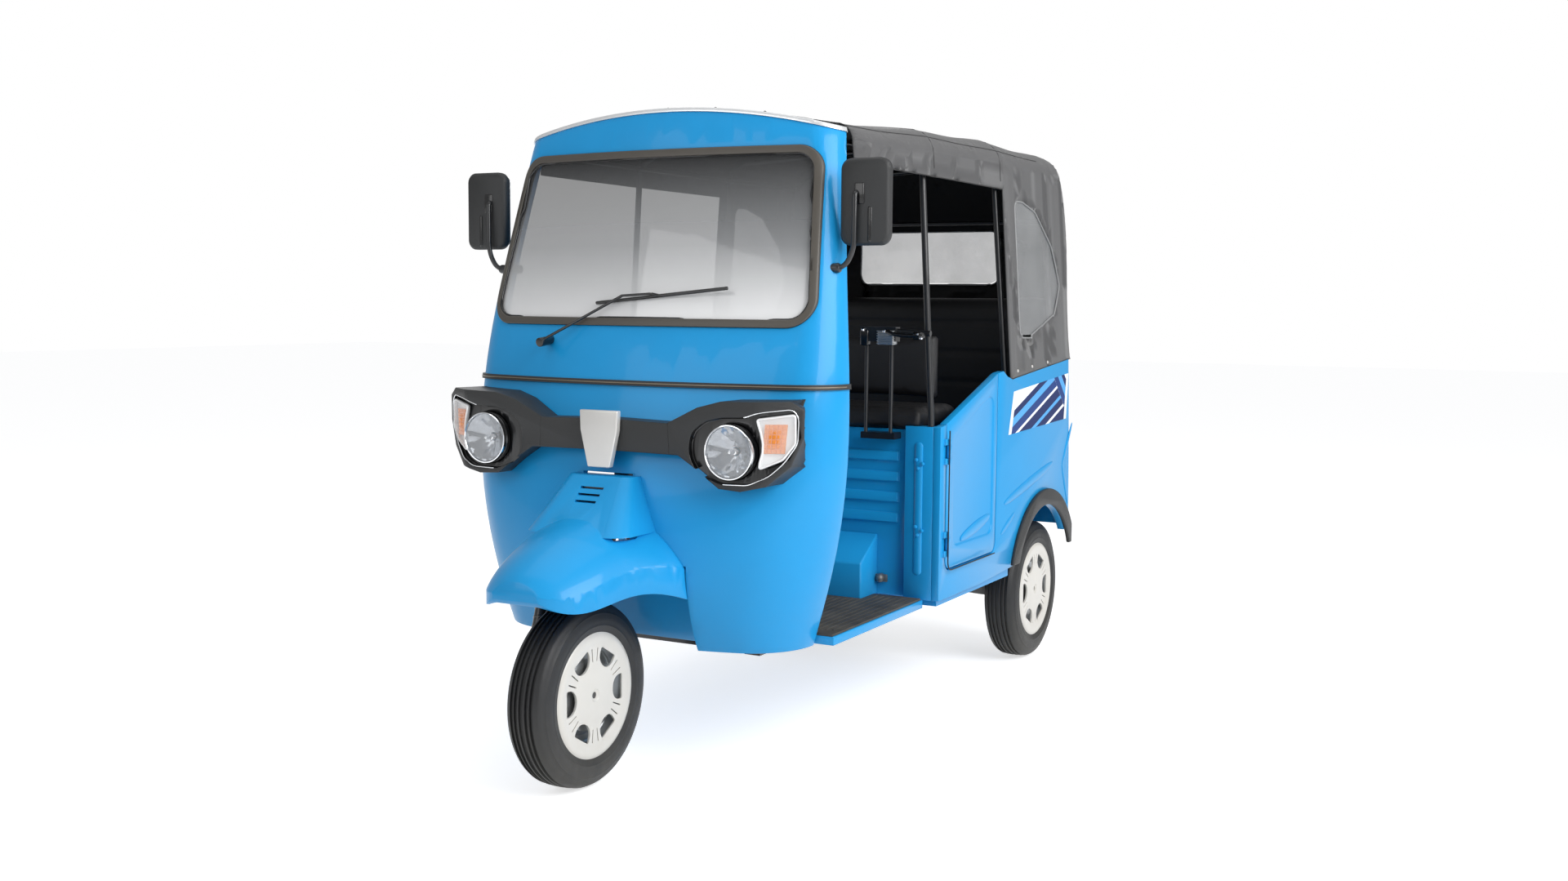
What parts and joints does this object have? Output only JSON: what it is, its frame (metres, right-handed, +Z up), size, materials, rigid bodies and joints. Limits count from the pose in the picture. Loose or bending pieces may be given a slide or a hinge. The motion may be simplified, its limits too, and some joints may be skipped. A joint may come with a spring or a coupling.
{
  "type": "auto rickshaw",
  "caption": "Passenger auto rickshaw: a three-wheeled vehicle with a steel cowl, a low rear tub with half doors and a fabric hood.",
  "frame": {"origin": "centre of the vehicle's plan on the ground", "axes": "+X to the vehicle's left, +Y to its rear, +Z up; the front faces -Y"},
  "size_m": [1.422, 2.6669, 1.886],
  "materials": {
    "body_paint": "gloss",
    "seal_rubber": "satin",
    "window_glass": "clear",
    "trim_plastic": "satin",
    "badge_metal": "satin",
    "lamp_chrome": "polished",
    "lamp_lens": "gloss",
    "roof_strip": "satin",
    "black_steel": "satin",
    "mat_rubber": "matte",
    "tail_lens": "gloss",
    "plate_metal": "satin",
    "flare_plastic": "matte",
    "seat_cover": "satin",
    "hood_fabric": "matte",
    "clear_film": "gloss",
    "tyre_rubber": "matte",
    "rim_steel": "satin",
    "cover_plastic": "satin",
    "engine_metal": "rough"
  },
  "bodies": {
    "chassis": {"front_cowl": "body_paint", "front_fender": "body_paint", "wheel_well": "body_paint", "floor_pan": "body_paint", "floor_box": "body_paint", "seat_box": "body_paint", "side_panel_left": "body_paint", "side_panel_right": "body_paint", "tail_panel": "body_paint", "rear_floor": "body_paint", "passenger_bench": "body_paint", "windscreen_gasket": "seal_rubber", "windscreen_glass": "window_glass", "lamp_mask": "trim_plastic", "badge_plate": "badge_metal", "headlamps": "lamp_chrome", "indicators": "lamp_lens", "belt_moulding": "trim_plastic", "roof_trim": "roof_strip", "wiper": "trim_plastic", "mirror_arms": "black_steel", "mirror_heads": "trim_plastic", "floor_mat": "mat_rubber", "tail_lamps": "tail_lens", "number_plate": "plate_metal", "arch_flares": "flare_plastic", "driver_seat": "seat_cover", "driver_backrest": "seat_cover", "passenger_seat": "seat_cover", "passenger_backrest": "seat_cover", "stay_rods": "black_steel", "hood_frame": "black_steel", "canopy": "hood_fabric", "clear_windows": "clear_film", "chassis_frame": "black_steel", "steering_head": "black_steel", "trailing_arms": "black_steel", "rear_springs": "black_steel", "engine_block": "engine_metal", "engine_cradle": "black_steel"},
    "steering": {"steering_column": "black_steel", "handlebar": "black_steel", "front_link": "black_steel", "front_spring": "black_steel"},
    "front_wheel": {"front_tyre": "tyre_rubber", "front_rim": "rim_steel", "front_cover": "cover_plastic"},
    "rear_wheel_left": {"rear_left_tyre": "tyre_rubber", "rear_left_rim": "rim_steel", "rear_left_cover": "cover_plastic"},
    "rear_wheel_right": {"rear_right_tyre": "tyre_rubber", "rear_right_rim": "rim_steel", "rear_right_cover": "cover_plastic"},
    "door_left": {"side_door_left": "body_paint"},
    "door_right": {"side_door_right": "body_paint"},
    "lid": {"engine_lid": "body_paint"}
  },
  "joints": [
    {"name": "steering", "type": "hinge", "parent": "chassis", "child": "steering", "pos_m": [0, -0.941, 0.6], "axis": [0, 0.3746, 0.9272], "range_deg": [-35, 35]},
    {"name": "front_wheel_spin", "type": "hinge", "parent": "steering", "child": "front_wheel", "pos_m": [0, -1.065, 0.255], "axis": [1, 0, 0], "continuous": true},
    {"name": "rear_left_spin", "type": "hinge", "parent": "chassis", "child": "rear_wheel_left", "pos_m": [0.498, 1.035, 0.255], "axis": [1, 0, 0], "continuous": true},
    {"name": "rear_right_spin", "type": "hinge", "parent": "chassis", "child": "rear_wheel_right", "pos_m": [-0.498, 1.035, 0.255], "axis": [1, 0, 0], "continuous": true},
    {"name": "left_door_hinge", "type": "hinge", "parent": "chassis", "child": "door_left", "pos_m": [0.608, 0.042, 0.7], "axis": [0, 0, -1], "range_deg": [0, 75]},
    {"name": "right_door_hinge", "type": "hinge", "parent": "chassis", "child": "door_right", "pos_m": [-0.608, 0.042, 0.7], "axis": [0, 0, 1], "range_deg": [0, 75]},
    {"name": "lid_hinge", "type": "hinge", "parent": "chassis", "child": "lid", "pos_m": [0, 1.323, 0.803], "axis": [1, 0, 0], "range_deg": [0, 65]}
  ]
}
